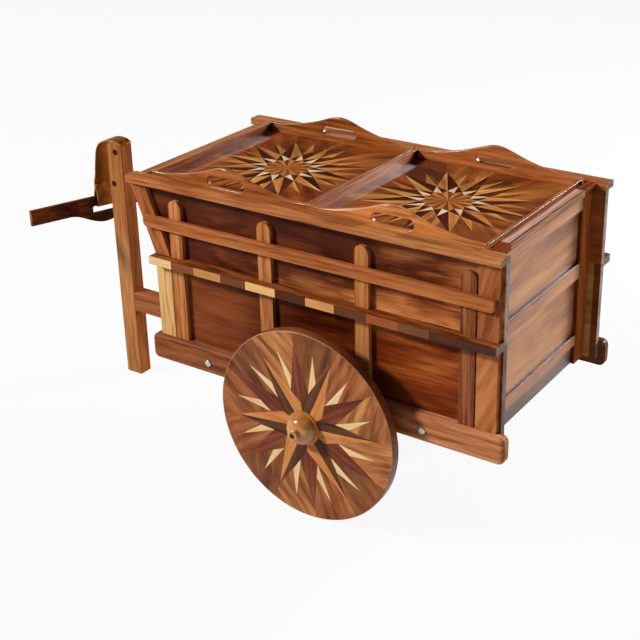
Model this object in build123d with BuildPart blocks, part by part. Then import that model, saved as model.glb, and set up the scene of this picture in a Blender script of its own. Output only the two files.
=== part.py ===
from build123d import *
import os
from math import asin, atan, cos, radians, sin

# Ox-cart shaped bar cart, in millimetres.
# +X runs to the tailgate, -X to the yoke, +Y to the cart's right, +Z up.
# The origin is on the ground under the middle of the overall length.

# Softened edges on what shows
edge_round = 1.2

# Box
inner_width = 426.0
board_thick = 14.0
lower_length = 823.0
front_lean = 61.0
side_height = 401.0
waist_height = 239.5
board_drop = 20.0
floor_thick = 12.0
wall_thick = 12.0
end_recess = 22.0

# Rails and sills along the sides
cap_width = 37.0
cap_height = 14.5
cap_round = 2.0
cap_nose = 8.0
right_cap_overrun = 25.0
mid_drop = 92.0
mid_height = 26.0
mid_thick = 10.0
mid_inset = 12.0
mid_corner = 9.0
band_height = 17.0
band_depth = 29.0
block_length = 69.7
block_thick = 3.0
block_joint = 0.2
sill_height = 59.0
sill_thick = 21.0
sill_front = 19.0
sill_tail = 17.0
sill_corner = 14.0
sill_round = 8.0

# Stiles and stakes on the side boards
stile_thick = 10.0
stile_inset = 5.0
front_stile_width = 41.0
rear_stile_width = 45.0
stake_width = 33.0
stake_count = 4
stake_gap = 3.0
stake_drop = 25.0

# Bolts through sill and board into the floor's edge
bolt_r = 3.0
bolt_head_r = 7.5
bolt_head_height = 3.0
bolt_head_round = 2.0
bolt_bite = 20.0
bolt_clear = 0.2
bolt_from_front = 137.0
bolt_from_rear = 158.0

# Tailgate
gate_panel_thick = 8.0
gate_stile_thick = 15.0
gate_stile_width = 46.0
gate_rail_thick = 8.0
gate_foot_level = 65.0
gate_foot_height = 24.0
gate_mid_level = 219.0
gate_mid_height = 34.0
gate_head_height = 31.0

# Trays
tray_side_clear = 2.0
tray_end_clear = 4.0
tray_gap = 1.0
tray_front_clear = 7.0
tray_base_thick = 6.0
lip_thick = 8.0
lip_height = 20.0
handle_thick = 10.0
handle_end = 22.0
handle_hump = 36.0
handle_shoulder = 6.0
hump_half = 112.0
hand_slot_length = 93.0
hand_slot_height = 23.0
hand_slot_rise = 26.0
handle_round = 2.5
slot_round = 1.5
cleat_size = 12.0

# Wheels, axle and what carries the box
wheel_radius = 208.5
wheel_thick = 22.0
wheel_gap = 31.0
wheel_edge = 1.5
axle_from_rear = 399.5
axle_drop = 15.8
axle_r = 4.0
axle_cap_lip = 1.8
axle_cap_thick = 4.0
running_clear = 0.05
beam_width = 50.0
beam_height = 45.0
hub_spigot_r = 20.0
hub_collar_lip = 3.5
hub_collar_thick = 5.0
hub_dome_r = 33.5
hub_dome_depth = 27.0
hub_dome_swell = 40.0
hub_bead_r = 2.4
hub_bead_wall = 3.1
hub_recess_clear = 0.6
hub_recess_depth = 7.0
back_collar_r = 30.0
hub_play = 1.0
bearer_width = 40.0

# Tongue and post
tongue_reach = 288.0
tongue_height = 48.0
post_depth = 46.0
post_width = 36.0
post_rise = 371.7
post_dome = 9.0
post_edge = 1.5
plug_r = 7.5
plug_depth = 12.0
plug_recess = 1.0
plug_clear = 0.05
upper_plug_drop = 14.0
upper_plug_shift = 3.0
lower_plug_drop = 94.0
lower_plug_shift = -9.0

# Leather strap, from the post's top down to the loop round the yoke
strap_thick = 4.5
strap_width = 38.0
strap_seat = 0.1
strap_leave = 17.0
strap_reach = 40.0
strap_bend_r = 14.0
strap_drop = 20.0
strap_lean = 5.0
strap_hinge_gap = 2.0
strap_end_inset = 4.0
loop_gap = 0.3
loop_clear = 0.6
loop_joint = 28.0
loop_pinch = 15.0
rivet_r = 2.2
rivet_head_r = 4.5
rivet_head_height = 2.4
rivet_clear = 0.05
rivet_drop = 6.0
tack_r = 3.5
tack_height = 1.6
tack_spread = 22.0
tack_inset = 9.0

# Yoke, hung square to the cart but twisted in its strap
yoke_half = 187.0
yoke_thick = 14.0
yoke_twist = 21.0
yoke_hang = 138.0
yoke_end_height = 37.0
yoke_belly = 67.0
yoke_belly_half = 95.0
yoke_slot_half = 32.0
yoke_slot_height = 20.0
yoke_bar = 22.0
yoke_slot_corner = 4.0
yoke_round = 2.5

# Layers across the cart, from the box's inside outwards
board_in = inner_width / 2
board_out = board_in + board_thick
stile_out = board_out + stile_thick
mid_out = stile_out + mid_thick
sill_out = board_out + sill_thick
cap_out = board_in + cap_width
band_out = board_out + band_depth
block_out = band_out + block_thick
wheel_back = sill_out + wheel_gap
wheel_face = wheel_back + wheel_thick

# Levels above the ground
axle_z = wheel_radius
sill_z = axle_z + axle_drop
board_z = sill_z + board_drop
floor_z = board_z + floor_thick
sill_top = sill_z + sill_height
waist_z = sill_z + waist_height
band_z = waist_z - band_height / 2
band_top = band_z + band_height
cap_z = sill_z + side_height
cap_top = cap_z + cap_height
mid_z = cap_z - mid_drop
bolt_z = board_z + floor_thick / 2
tray_top = cap_z
tray_z = tray_top - tray_base_thick
post_height = sill_z + post_rise
yoke_top = post_height - yoke_hang

# Places along the cart
front_slope = front_lean / (cap_z - waist_z)
lean_angle = atan(front_slope)
twist = radians(yoke_twist)
yoke_ahead = strap_reach + strap_lean + yoke_half * sin(twist) + yoke_thick / 2 * cos(twist)
front_reach = lower_length + tongue_reach + post_depth + yoke_ahead
rear_x = (front_reach - sill_tail) / 2
front_x = rear_x - lower_length
wheel_x = rear_x - axle_from_rear
post_rear = front_x - tongue_reach
post_front = post_rear - post_depth
post_mid = (post_front + post_rear) / 2
hinge_x = post_front - strap_reach
hinge_z = post_height - strap_drop
yoke_x = hinge_x - strap_lean
gate_face = rear_x - end_recess
panel_out = gate_face - gate_stile_thick
panel_in = panel_out - gate_panel_thick
wall_in = front_x + end_recess + wall_thick
wall_run = wall_thick / cos(lean_angle)


def front_edge(z):
    """X of the upper side board's sloping front edge at height z."""
    return front_x - front_slope * (z - waist_z)


tray_back = panel_in - tray_end_clear
tray_front = front_edge(tray_z) + end_recess + wall_run + tray_front_clear
tray_length = (tray_back - tray_front - tray_gap) / 2
tray_half_width = board_in - tray_side_clear
handle_in = tray_half_width - handle_thick
bolt_places = [front_x + bolt_from_front, rear_x - bolt_from_rear]
first_stake = front_x + front_stile_width + stake_gap + stake_width / 2
last_stake = rear_x - stile_inset - rear_stile_width - stake_gap - stake_width / 2
stake_pitch = (last_stake - first_stake) / (stake_count - 1)
stake_places = [first_stake + i * stake_pitch for i in range(stake_count)]
sides = {"left": -1, "right": 1}

os.makedirs("parts", exist_ok=True)


def save(piece, label):
    piece.part.label = label
    export_step(piece.part, f"parts/{label}.step")


def bar(x_ends, y_ends, z_ends):
    """Square-edged bar between two corners."""
    with Locations((sum(x_ends) / 2, sum(y_ends) / 2, sum(z_ends) / 2)):
        Box(abs(x_ends[1] - x_ends[0]), abs(y_ends[1] - y_ends[0]), abs(z_ends[1] - z_ends[0]))


def upright(y_ends):
    """Plane for a profile drawn in X and Z, at the +Y face of what is extruded from it."""
    return Plane.XZ.offset(-max(y_ends))


def pin(x, z, radius, y_ends, mode=Mode.ADD):
    """Round bar along Y."""
    middle = Plane(origin=(x, sum(y_ends) / 2, z), x_dir=(1, 0, 0), z_dir=(0, 1, 0))
    with Locations(middle):
        Cylinder(radius, abs(y_ends[1] - y_ends[0]), mode=mode)


def outer_face(piece, side):
    """Faces of the piece that look outwards on the cart's left (-1) or right (+1)."""
    return piece.faces().filter_by(Axis.Y).group_by(Axis.Y)[0 if side < 0 else -1]


# Side walls, the same on the left and on the right
def lower_board(side):
    with BuildPart() as board:
        bar((front_x, rear_x), (side * board_in, side * board_out), (board_z, waist_z))
        for x in bolt_places:
            pin(x, bolt_z, bolt_r + bolt_clear, (side * board_in, side * board_out), Mode.SUBTRACT)
    return board


def upper_board(side):
    with BuildPart() as board:
        with BuildSketch(upright((side * board_in, side * board_out))):
            with BuildLine():
                Polyline(
                    (front_x, waist_z), (rear_x, waist_z), (rear_x, cap_z), (front_edge(cap_z), cap_z),
                    close=True,
                )
            make_face()
        extrude(amount=board_thick)
    return board


def cap_rail(side):
    """Rail on top of a side. The right one runs further past the board's front end."""
    front = front_edge(cap_z) - (right_cap_overrun if side > 0 else 0)
    with BuildPart() as rail:
        bar((front, rear_x), (side * board_in, side * cap_out), (cap_z, cap_top))
        fillet(rail.edges().filter_by(Axis.Z).group_by(Axis.X)[0], cap_nose)
        fillet(outer_face(rail, side).edges().filter_by(Axis.X), cap_round)
    return rail


def mid_rail(side):
    x_ends = (front_edge(mid_z + mid_height / 2) + mid_inset, rear_x - mid_inset)
    with BuildPart() as rail:
        bar(x_ends, (side * stile_out, side * mid_out), (mid_z, mid_z + mid_height))
        fillet(rail.edges().filter_by(Axis.Y).group_by(Axis.Z)[0], mid_corner)
        fillet(outer_face(rail, side).edges(), edge_round)
    return rail


def banded_rail(side):
    with BuildPart() as rail:
        bar((front_x, rear_x), (side * board_out, side * band_out), (band_z, band_top))
    return rail


def band_blocks(side):
    """Blocks of light and dark woods glued along the banded rail, the front one cut short."""
    with BuildPart() as blocks:
        block_rear = rear_x
        while block_rear > front_x:
            block_front = max(block_rear - block_length, front_x)
            bar(
                (block_front, block_rear - block_joint),
                (side * band_out, side * block_out),
                (band_z, band_top),
            )
            block_rear = block_front
    return blocks


def sill(side):
    with BuildPart() as plank:
        bar(
            (front_x - sill_front, rear_x + sill_tail),
            (side * board_out, side * sill_out),
            (sill_z, sill_top),
        )
        fillet(plank.edges().filter_by(Axis.Y), sill_corner)
        fillet(outer_face(plank, side).edges().filter_by(Axis.X).sort_by(Axis.Z)[-1], sill_round)
        for x in bolt_places:
            pin(x, bolt_z, bolt_r + bolt_clear, (side * board_out, side * sill_out), Mode.SUBTRACT)
    return plank


def lower_front_stile(side):
    with BuildPart() as stile:
        bar(
            (front_x, front_x + front_stile_width),
            (side * board_out, side * stile_out),
            (sill_top, band_z),
        )
        fillet(outer_face(stile, side).edges().filter_by(Axis.Z), edge_round)
    return stile


def upper_front_stile(side):
    """Stile that stands over the lower one and leans forward with the board's edge."""
    lean_run = front_slope * (cap_z - band_top)
    with BuildPart() as stile:
        with BuildSketch(upright((side * board_out, side * stile_out))):
            with BuildLine():
                Polyline(
                    (front_x, band_top),
                    (front_x + front_stile_width, band_top),
                    (front_x + front_stile_width - lean_run, cap_z),
                    (front_x - lean_run, cap_z),
                    close=True,
                )
            make_face()
        extrude(amount=stile_thick)
        fillet(outer_face(stile, side).edges().filter_by(Axis.X, reverse=True), edge_round)
    return stile


def rear_stile(side, z_ends):
    x_rear = rear_x - stile_inset
    with BuildPart() as stile:
        bar((x_rear - rear_stile_width, x_rear), (side * board_out, side * stile_out), z_ends)
        fillet(outer_face(stile, side).edges().filter_by(Axis.Z), edge_round)
    return stile


def stakes(side):
    """Round-topped stakes over the banded rail, with plain ones in line below it."""
    round_z = cap_z - stake_drop - stake_width / 2
    with BuildPart() as row:
        with BuildSketch(upright((side * board_out, side * stile_out))):
            for x in stake_places:
                with Locations((x, (band_top + round_z) / 2)):
                    Rectangle(stake_width, round_z - band_top)
                with Locations((x, round_z)):
                    Circle(stake_width / 2)
                with Locations((x, (sill_top + band_z) / 2)):
                    Rectangle(stake_width, band_z - sill_top)
        extrude(amount=stile_thick)
        fillet(outer_face(row, side).edges().filter_by(Axis.X, reverse=True), edge_round)
    return row


for name, side in sides.items():
    save(lower_board(side), f"{name}_lower_board")
    save(upper_board(side), f"{name}_upper_board")
    save(cap_rail(side), f"{name}_cap_rail")
    save(mid_rail(side), f"{name}_mid_rail")
    save(banded_rail(side), f"{name}_banded_rail")
    save(band_blocks(side), f"{name}_band_blocks")
    save(sill(side), f"{name}_sill")
    save(lower_front_stile(side), f"{name}_lower_front_stile")
    save(upper_front_stile(side), f"{name}_upper_front_stile")
    save(rear_stile(side, (sill_top, band_z)), f"{name}_lower_rear_stile")
    save(rear_stile(side, (band_top, cap_z)), f"{name}_upper_rear_stile")
    save(stakes(side), f"{name}_stakes")

# Carriage bolts, one group for both sides
with BuildPart() as sill_bolts:
    for side in sides.values():
        head_out = sill_out + bolt_head_height
        for x in bolt_places:
            pin(x, bolt_z, bolt_r, (side * (board_in - bolt_bite), side * sill_out))
            pin(x, bolt_z, bolt_head_r, (side * sill_out, side * head_out))
        rims = sill_bolts.faces().filter_by(Axis.Y).sort_by(Axis.Y)
        outer_faces = rims.group_by(Axis.Y)[0 if side < 0 else -1]
        fillet(outer_faces.edges(), bolt_head_round)
save(sill_bolts, "sill_bolts")

# Front wall, upright below the waist and leaning forward above it
with BuildPart() as lower_front_wall:
    bar((front_x + end_recess, wall_in), (-board_in, board_in), (board_z, waist_z))
save(lower_front_wall, "lower_front_wall")

with BuildPart() as upper_front_wall:
    with BuildSketch(upright((-board_in, board_in))):
        with BuildLine():
            foot = front_edge(waist_z) + end_recess
            head = front_edge(cap_top) + end_recess
            Polyline(
                (foot, waist_z), (foot + wall_run, waist_z), (head + wall_run, cap_top), (head, cap_top),
                close=True,
            )
        make_face()
    extrude(amount=inner_width)
save(upper_front_wall, "upper_front_wall")

# Tailgate: a panel behind proud rails, and prouder stiles in the corners
with BuildPart() as gate_panel:
    bar((panel_in, panel_out), (-board_in, board_in), (board_z, cap_z))
save(gate_panel, "gate_panel")

gate_opening = board_in - gate_stile_width
with BuildPart() as gate_rails:
    for low, high in (
        (sill_z + gate_foot_level, sill_z + gate_foot_level + gate_foot_height),
        (sill_z + gate_mid_level, sill_z + gate_mid_level + gate_mid_height),
        (cap_z - gate_head_height, cap_z),
    ):
        bar((panel_out, panel_out + gate_rail_thick), (-gate_opening, gate_opening), (low, high))
    fillet(gate_rails.faces().group_by(Axis.X)[-1].edges().filter_by(Axis.Y), edge_round)
save(gate_rails, "gate_rails")

with BuildPart() as gate_stiles:
    for side in sides.values():
        bar((panel_out, gate_face), (side * gate_opening, side * board_in), (board_z, cap_z))
    fillet(gate_stiles.faces().group_by(Axis.X)[-1].edges().filter_by(Axis.Z), edge_round)
save(gate_stiles, "gate_stiles")

with BuildPart() as gate_cap:
    bar((panel_in, gate_face), (-board_in, board_in), (cap_z, cap_top))
    fillet(gate_cap.edges().filter_by(Axis.Y).group_by(Axis.X)[-1], edge_round)
save(gate_cap, "gate_cap")

# Floor, its bearers and the cleats that the trays rest on
with BuildPart() as floor:
    bar((wall_in, panel_in), (-board_in, board_in), (board_z, floor_z))
    for side in sides.values():
        for x in bolt_places:
            bite_ends = (side * (board_in - bolt_bite), side * board_in)
            pin(x, bolt_z, bolt_r + bolt_clear, bite_ends, Mode.SUBTRACT)
save(floor, "floor")

with BuildPart() as floor_bearers:
    for x in bolt_places:
        bar((x - bearer_width / 2, x + bearer_width / 2), (-board_out, board_out), (sill_z, board_z))
save(floor_bearers, "floor_bearers")

with BuildPart() as tray_cleats:
    for side in sides.values():
        cleat_y = (side * (board_in - cleat_size), side * board_in)
        bar((tray_front, panel_in), cleat_y, (tray_z - cleat_size, tray_z))
save(tray_cleats, "tray_cleats")


# Lift-off trays
def tray_base(x_ends):
    with BuildPart() as base:
        bar((x_ends[0] + lip_thick, x_ends[1] - lip_thick), (-handle_in, handle_in), (tray_z, tray_top))
    return base


def tray_lips(x_ends):
    with BuildPart() as lips:
        for outer, inner in ((x_ends[0], x_ends[0] + lip_thick), (x_ends[1], x_ends[1] - lip_thick)):
            bar((outer, inner), (-handle_in, handle_in), (tray_z, tray_top + lip_height))
        fillet(lips.edges().filter_by(Axis.Y).group_by(Axis.Z)[-1], edge_round)
    return lips


def tray_handles(x_ends):
    """Two handle boards with a humped top edge and a slot for the fingers."""
    middle = sum(x_ends) / 2
    end_z = tray_top + handle_end
    half_rise = 0.5 * (handle_shoulder + handle_hump)
    with BuildPart() as handles:
        for side in sides.values():
            with BuildSketch(upright((side * handle_in, side * tray_half_width))):
                with BuildLine():
                    Spline(
                        (x_ends[0], end_z),
                        (middle - hump_half, end_z + handle_shoulder),
                        (middle - hump_half / 2, end_z + half_rise),
                        (middle, end_z + handle_hump),
                        (middle + hump_half / 2, end_z + half_rise),
                        (middle + hump_half, end_z + handle_shoulder),
                        (x_ends[1], end_z),
                    )
                    Polyline((x_ends[1], end_z), (x_ends[1], tray_z), (x_ends[0], tray_z), (x_ends[0], end_z))
                make_face()
                with Locations((middle, tray_top + hand_slot_rise)):
                    SlotOverall(hand_slot_length, hand_slot_height, mode=Mode.SUBTRACT)
            extrude(amount=handle_thick)
        fillet(handles.edges().filter_by(GeomType.BSPLINE), handle_round)
        slot_walls = handles.faces().filter_by(GeomType.CYLINDER)
        slot_rims = slot_walls.edges().filter_by(GeomType.CIRCLE)
        fillet(slot_rims, slot_round)
    return handles


tray_ends = {
    "front": (tray_front, tray_front + tray_length),
    "rear": (tray_back - tray_length, tray_back),
}
for name, x_ends in tray_ends.items():
    save(tray_base(x_ends), f"{name}_tray_base")
    save(tray_lips(x_ends), f"{name}_tray_lips")
    save(tray_handles(x_ends), f"{name}_tray_handles")

# Axle beam under the sills, the steel axle through it and the caps on the axle's ends
axle_cap_r = axle_r + axle_cap_lip
bead_out = wheel_face + hub_collar_thick + hub_dome_depth + 4 * hub_bead_r
axle_end = bead_out - hub_recess_depth
with BuildPart() as axle_beam:
    bar(
        (wheel_x - beam_width / 2, wheel_x + beam_width / 2),
        (-sill_out, sill_out),
        (sill_z - beam_height, sill_z),
    )
    pin(wheel_x, axle_z, axle_r + running_clear, (-sill_out, sill_out), Mode.SUBTRACT)
save(axle_beam, "axle_beam")

with BuildPart() as axle:
    pin(wheel_x, axle_z, axle_r, (-axle_end, axle_end))
save(axle, "axle")

cap_start = axle_end + hub_play / 2
with BuildPart() as axle_caps:
    for side in sides.values():
        pin(wheel_x, axle_z, axle_cap_r, (side * cap_start, side * (cap_start + axle_cap_thick)))
        pin(wheel_x, axle_z, axle_r, (side * axle_end, side * cap_start))
save(axle_caps, "axle_caps")


# Wheels: a veneered disc on a turned hub, with a plain collar behind it
hub_recess_r = axle_cap_r + hub_recess_clear
hub_nose_r = hub_recess_r + hub_bead_wall
hub_collar_r = hub_dome_r + hub_collar_lip


def wheel_disc(side):
    with BuildPart() as disc:
        pin(wheel_x, axle_z, wheel_radius, (side * wheel_back, side * wheel_face))
        fillet(disc.edges(), wheel_edge)
        pin(wheel_x, axle_z, hub_spigot_r, (side * wheel_back, side * wheel_face), Mode.SUBTRACT)
    return disc


def hub(side):
    """Turned hub: spigot through the disc, collar, dome and a nose of two beads."""
    bore_r = axle_r + running_clear
    back_y = side * wheel_back
    face_y = side * wheel_face
    collar_y = face_y + side * hub_collar_thick
    dome_y = collar_y + side * hub_dome_depth
    bead_y = dome_y + side * 2 * hub_bead_r
    tip_y = bead_y + side * 2 * hub_bead_r
    recess_y = tip_y - side * hub_recess_depth
    swell = radians(hub_dome_swell)
    dome_mid = (
        hub_nose_r + (hub_dome_r - hub_nose_r) * cos(swell),
        collar_y + side * hub_dome_depth * sin(swell),
    )
    beads = [
        (hub_nose_r + hub_bead_r, dome_y + side * hub_bead_r),
        (hub_nose_r + hub_bead_r, bead_y + side * hub_bead_r),
    ]
    with BuildPart() as turned:
        with BuildSketch(Plane(origin=(wheel_x, 0, axle_z), x_dir=(1, 0, 0), z_dir=(0, 0, 1))):
            with BuildLine():
                Polyline(
                    (bore_r, recess_y), (bore_r, back_y), (hub_spigot_r, back_y), (hub_spigot_r, face_y),
                    (hub_collar_r, face_y), (hub_collar_r, collar_y), (hub_dome_r, collar_y),
                )
                ThreePointArc((hub_dome_r, collar_y), dome_mid, (hub_nose_r, dome_y))
                ThreePointArc((hub_nose_r, dome_y), beads[0], (hub_nose_r, bead_y))
                ThreePointArc((hub_nose_r, bead_y), beads[1], (hub_nose_r, tip_y))
                Polyline(
                    (hub_nose_r, tip_y), (hub_recess_r, tip_y), (hub_recess_r, recess_y), (bore_r, recess_y),
                )
            make_face()
        revolve(axis=Axis((wheel_x, 0, axle_z), (0, 1, 0)))
    return turned


def back_collar(side):
    y_ends = (side * (sill_out + hub_play), side * wheel_back)
    with BuildPart() as collar:
        pin(wheel_x, axle_z, back_collar_r, y_ends)
        pin(wheel_x, axle_z, axle_r + running_clear, y_ends, Mode.SUBTRACT)
    return collar


for name, side in sides.items():
    save(wheel_disc(side), f"{name}_wheel")
    save(hub(side), f"{name}_hub")
    save(back_collar(side), f"{name}_back_collar")

# Tongue from the axle beam to the post
with BuildPart() as tongue:
    bar(
        (post_rear, wheel_x - beam_width / 2),
        (-post_width / 2, post_width / 2),
        (sill_z - tongue_height, sill_z),
    )
    fillet(tongue.edges().filter_by(Axis.X).group_by(Axis.Z)[0], edge_round)
save(tongue, "tongue")

# Post: the cart's front leg, with a domed top and two plugged holes on its left face
plug_places = [
    (post_mid + upper_plug_shift, post_height - upper_plug_drop),
    (post_mid + lower_plug_shift, post_height - lower_plug_drop),
]
plug_face = -post_width / 2
with BuildPart() as post:
    with BuildSketch(upright((-post_width / 2, post_width / 2))):
        with BuildLine():
            ThreePointArc(
                (post_front, post_height), (post_mid, post_height + post_dome), (post_rear, post_height),
            )
            Polyline((post_rear, post_height), (post_rear, 0), (post_front, 0), (post_front, post_height))
        make_face()
    extrude(amount=post_width)
    chamfer(post.edges().filter_by(Axis.Z), post_edge)
    for x, z in plug_places:
        pin(x, z, plug_r, (plug_face, plug_face + plug_depth), Mode.SUBTRACT)
save(post, "post")

with BuildPart() as post_plugs:
    for x, z in plug_places:
        pin(x, z, plug_r - plug_clear, (plug_face + plug_recess, plug_face + plug_depth))
save(post_plugs, "post_plugs")

# Strap over the post's dome: its middle line is an arc over the dome, a run and a bend downwards
dome_r = (post_depth ** 2 / 4 + post_dome ** 2) / (2 * post_dome)
dome_z = post_height + post_dome - dome_r
strap_r = dome_r + strap_seat + strap_thick / 2
leave_angle = radians(strap_leave)
bend_angle = (leave_angle + radians(90)) / 2
end_angle = asin((post_depth / 2 - strap_end_inset) / dome_r)
leave_point = (post_mid - strap_r * sin(leave_angle), dome_z + strap_r * cos(leave_angle))
end_point = (post_mid + strap_r * sin(end_angle), dome_z + strap_r * cos(end_angle))
bend_x = hinge_x + strap_bend_r
bend_z = hinge_z + strap_hinge_gap / 2
half_width = strap_width / 2


def bend_point(angle):
    """Point on the strap's forward bend, its angle measured from straight up."""
    return (bend_x - strap_bend_r * sin(angle), bend_z + strap_bend_r * cos(angle))


with BuildPart() as strap_top:
    with BuildSketch(Plane.XZ):
        with BuildLine():
            ThreePointArc(end_point, (post_mid, dome_z + strap_r), leave_point)
            Line(leave_point, bend_point(leave_angle))
            ThreePointArc(bend_point(leave_angle), bend_point(bend_angle), (hinge_x, bend_z))
        trace(line_width=strap_thick)
    extrude(amount=half_width, both=True)
save(strap_top, "strap_top")

# Hanging run of the strap, twisted from the post's square to the yoke's
yoke_across = (cos(twist), -sin(twist), 0)
yoke_along = (sin(twist), cos(twist), 0)
yoke_low_side = (-sin(twist), -cos(twist), 0)
yoke_foot_z = yoke_top - yoke_belly
bar_z = yoke_top - yoke_bar
joint_z = yoke_top + loop_joint
with BuildPart() as strap_run:
    run_top = (hinge_x, 0, hinge_z - strap_hinge_gap / 2)
    with BuildSketch(Plane(origin=run_top, x_dir=(1, 0, 0), z_dir=(0, 0, 1))):
        Rectangle(strap_thick, strap_width)
    with BuildSketch(Plane(origin=(yoke_x, 0, joint_z + loop_gap), x_dir=yoke_across, z_dir=(0, 0, 1))):
        Rectangle(strap_thick, strap_width)
    loft()
save(strap_run, "strap_run")

# Loop of the strap round the yoke's bar, closed by a rivet
loop_plane = Plane(origin=(yoke_x, 0, 0), x_dir=yoke_across, z_dir=yoke_low_side)
loop_in = yoke_thick / 2 + loop_clear
loop_out = loop_in + strap_thick
loop_low = bar_z - loop_gap
rivet_z = joint_z - rivet_drop
with BuildPart() as strap_loop:
    with BuildSketch(loop_plane):
        with BuildLine():
            Polyline(
                (-loop_out, loop_low), (-loop_out, yoke_top), (-strap_thick, yoke_top + loop_pinch),
                (-strap_thick, joint_z), (strap_thick, joint_z), (strap_thick, yoke_top + loop_pinch),
                (loop_out, yoke_top), (loop_out, loop_low), (loop_in, loop_low - strap_thick),
                (-loop_in, loop_low - strap_thick), close=True,
            )
        make_face()
        with BuildLine():
            Polyline(
                (-loop_in, loop_low), (-loop_in, yoke_top), (0, yoke_top + loop_pinch),
                (loop_in, yoke_top), (loop_in, loop_low), close=True,
            )
        make_face(mode=Mode.SUBTRACT)
    extrude(amount=half_width, both=True)
    rivet_axis = Plane(origin=(yoke_x, 0, rivet_z), x_dir=yoke_along, z_dir=yoke_across)
    with Locations(rivet_axis):
        Cylinder(rivet_r + rivet_clear, 2 * loop_out, mode=Mode.SUBTRACT)
save(strap_loop, "strap_loop")

# The rivet's head is on the loop's front, and its rear end is flush
with BuildPart() as strap_rivet:
    with Locations(rivet_axis):
        Cylinder(rivet_r, 2 * strap_thick)
    with Locations(rivet_axis.offset(-strap_thick - rivet_head_height / 2)):
        Cylinder(rivet_head_r, rivet_head_height)
    head_rims = strap_rivet.edges().filter_by(GeomType.CIRCLE).group_by(SortBy.RADIUS)[-1]
    fillet(head_rims.sort_by(Axis((0, 0, 0), yoke_across))[0], rivet_head_height / 2)
save(strap_rivet, "strap_rivet")

# Tack heads that hold the strap's end on the post
tack_angle = asin((post_depth / 2 - tack_inset) / dome_r)
tack_r_out = dome_r + strap_seat + strap_thick
tack_normal = (sin(tack_angle), 0, cos(tack_angle))
with BuildPart() as strap_tacks:
    for y in (-tack_spread / 2, tack_spread / 2):
        seat = (
            post_mid + (tack_r_out + tack_height / 2) * sin(tack_angle),
            y,
            dome_z + (tack_r_out + tack_height / 2) * cos(tack_angle),
        )
        with Locations(Plane(origin=seat, x_dir=(0, 1, 0), z_dir=tack_normal)):
            Cylinder(tack_r, tack_height)
save(strap_tacks, "strap_tacks")

# Yoke: a straight-topped board with a belly under its slot
with BuildPart() as yoke:
    with BuildSketch(Plane(origin=(yoke_x, 0, 0), x_dir=yoke_along, z_dir=yoke_across)):
        with BuildLine():
            end_foot = yoke_top - yoke_end_height
            Polyline(
                (-yoke_belly_half, end_foot), (-yoke_half, end_foot), (-yoke_half, yoke_top),
                (yoke_half, yoke_top), (yoke_half, end_foot), (yoke_belly_half, end_foot),
            )
            Spline(
                (yoke_belly_half, end_foot),
                (yoke_belly_half / 2, (end_foot + yoke_foot_z) / 2),
                (0, yoke_foot_z),
                (-yoke_belly_half / 2, (end_foot + yoke_foot_z) / 2),
                (-yoke_belly_half, end_foot),
                tangents=[(-1, 0), (-1, 0)],
            )
        make_face()
        with Locations((0, bar_z - yoke_slot_height / 2)):
            RectangleRounded(2 * yoke_slot_half, yoke_slot_height, yoke_slot_corner, mode=Mode.SUBTRACT)
    extrude(amount=yoke_thick / 2, both=True)
    fillet(yoke.faces().sort_by(Axis((0, 0, 0), yoke_across))[0].outer_wire().edges(), yoke_round)
    fillet(yoke.faces().sort_by(Axis((0, 0, 0), yoke_across))[-1].outer_wire().edges(), yoke_round)
save(yoke, "yoke")
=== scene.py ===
import math

import bmesh
import bpy
from mathutils import Matrix, Vector


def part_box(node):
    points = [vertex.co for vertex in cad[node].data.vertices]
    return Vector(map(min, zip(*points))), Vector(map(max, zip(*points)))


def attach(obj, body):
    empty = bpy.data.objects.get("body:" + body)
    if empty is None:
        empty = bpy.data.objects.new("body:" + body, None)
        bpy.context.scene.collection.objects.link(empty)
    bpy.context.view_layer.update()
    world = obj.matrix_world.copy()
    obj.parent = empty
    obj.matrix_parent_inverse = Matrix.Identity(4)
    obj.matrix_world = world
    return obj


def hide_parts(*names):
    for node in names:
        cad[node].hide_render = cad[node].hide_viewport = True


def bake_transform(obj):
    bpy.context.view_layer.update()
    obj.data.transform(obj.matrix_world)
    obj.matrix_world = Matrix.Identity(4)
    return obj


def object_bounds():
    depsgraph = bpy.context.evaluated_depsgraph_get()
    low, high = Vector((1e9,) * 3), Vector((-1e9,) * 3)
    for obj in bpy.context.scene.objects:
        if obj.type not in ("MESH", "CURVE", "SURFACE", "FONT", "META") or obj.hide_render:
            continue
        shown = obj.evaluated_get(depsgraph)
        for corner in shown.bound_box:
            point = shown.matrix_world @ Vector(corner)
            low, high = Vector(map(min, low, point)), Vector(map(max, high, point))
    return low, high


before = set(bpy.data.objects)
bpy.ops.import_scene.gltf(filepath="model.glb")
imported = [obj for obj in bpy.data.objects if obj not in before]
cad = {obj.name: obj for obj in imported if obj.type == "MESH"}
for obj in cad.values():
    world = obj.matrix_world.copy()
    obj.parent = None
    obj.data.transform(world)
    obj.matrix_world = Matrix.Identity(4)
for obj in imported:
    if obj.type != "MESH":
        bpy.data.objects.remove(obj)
cad_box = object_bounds()
MM = 0.001


def linear(code):
    """Linear RGBA of an sRGB hex colour."""
    channels = [int(code[i:i + 2], 16) / 255 for i in (1, 3, 5)]
    return [c / 12.92 if c <= 0.04045 else ((c + 0.055) / 1.055) ** 2.4 for c in channels] + [1.0]


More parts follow.
